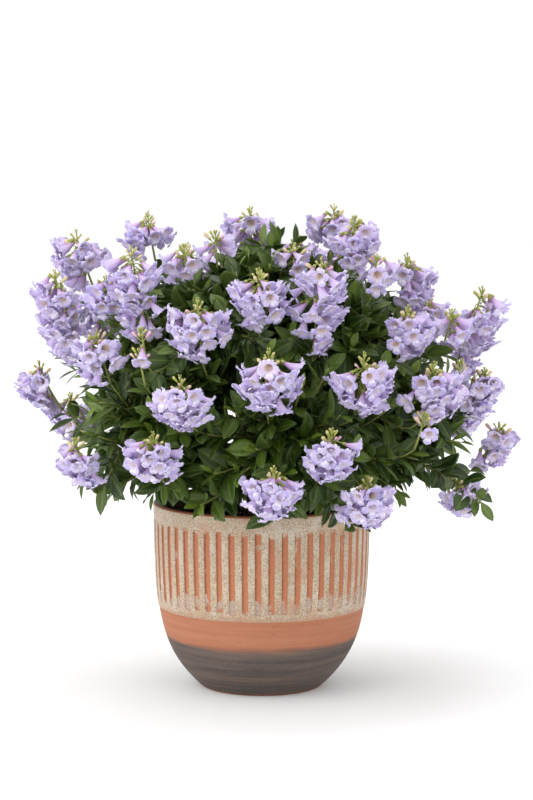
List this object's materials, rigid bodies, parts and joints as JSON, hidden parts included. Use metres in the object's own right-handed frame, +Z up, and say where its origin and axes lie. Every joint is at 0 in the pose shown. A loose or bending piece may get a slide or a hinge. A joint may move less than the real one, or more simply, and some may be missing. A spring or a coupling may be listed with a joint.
{
  "type": "potted freylinia",
  "caption": "Bushy flowering shrub with trusses of lilac trumpet flowers and lance-shaped leaves, in a fluted stoneware pot with its soil.",
  "frame": {"origin": "centre of the pot's flat underside, on the pot's axis, at the middle of the plant's spread", "axes": "+Z up along the pot's axis; the side seen from the front faces -Y, and +X is to the right of it"},
  "size_m": [0.4079, 0.399, 0.403],
  "materials": {
    "glazed_pot": "satin speckled cream glaze over fluted terracotta stoneware, bare orange band, charcoal foot",
    "soil": "dark crumbly potting soil, matt",
    "wood": "rough brown bark",
    "green_stem": "olive green young bark, slightly ribbed",
    "leaf": "dark green, satin upper side with a pale midrib",
    "petal": "soft matt lilac petals, pale edges, ochre throat"
  },
  "bodies": {
    "root": {"pot": "glazed_pot", "potting_soil": "soil", "root_crown": "wood", "stem_01": "green_stem", "stem_02": "green_stem", "stem_03": "green_stem", "stem_04": "green_stem", "stem_05": "green_stem", "stem_06": "green_stem", "stem_07": "green_stem", "stem_08": "green_stem", "stem_09": "green_stem", "stem_10": "green_stem", "leafy_shoot_01": "leaf", "leafy_shoot_02": "leaf", "leafy_shoot_03": "leaf", "leafy_shoot_04": "leaf", "leafy_shoot_05": "leaf", "leafy_shoot_06": "leaf", "leafy_shoot_07": "leaf", "leafy_shoot_08": "leaf", "leafy_shoot_09": "leaf", "leafy_shoot_10": "leaf", "flower_truss_01": "petal", "flower_truss_02": "petal", "flower_truss_03": "petal", "flower_truss_04": "petal", "flower_truss_05": "petal", "flower_truss_06": "petal", "flower_truss_07": "petal", "flower_truss_08": "petal", "flower_truss_09": "petal", "flower_truss_10": "petal", "flower_truss_11": "petal", "flower_truss_12": "petal", "flower_truss_13": "petal", "flower_truss_14": "petal", "flower_truss_15": "petal", "flower_truss_16": "petal", "flower_truss_17": "petal", "flower_truss_18": "petal", "flower_truss_19": "petal", "flower_truss_20": "petal", "flower_truss_21": "petal", "flower_truss_22": "petal", "flower_truss_23": "petal", "flower_truss_24": "petal", "flower_truss_25": "petal", "flower_truss_26": "petal", "flower_truss_27": "petal", "flower_truss_28": "petal", "flower_truss_29": "petal", "flower_truss_30": "petal", "flower_truss_31": "petal", "flower_truss_32": "petal", "flower_truss_33": "petal", "flower_truss_34": "petal", "flower_truss_35": "petal", "flower_truss_36": "petal", "flower_truss_37": "petal"}
  },
  "joints": []
}
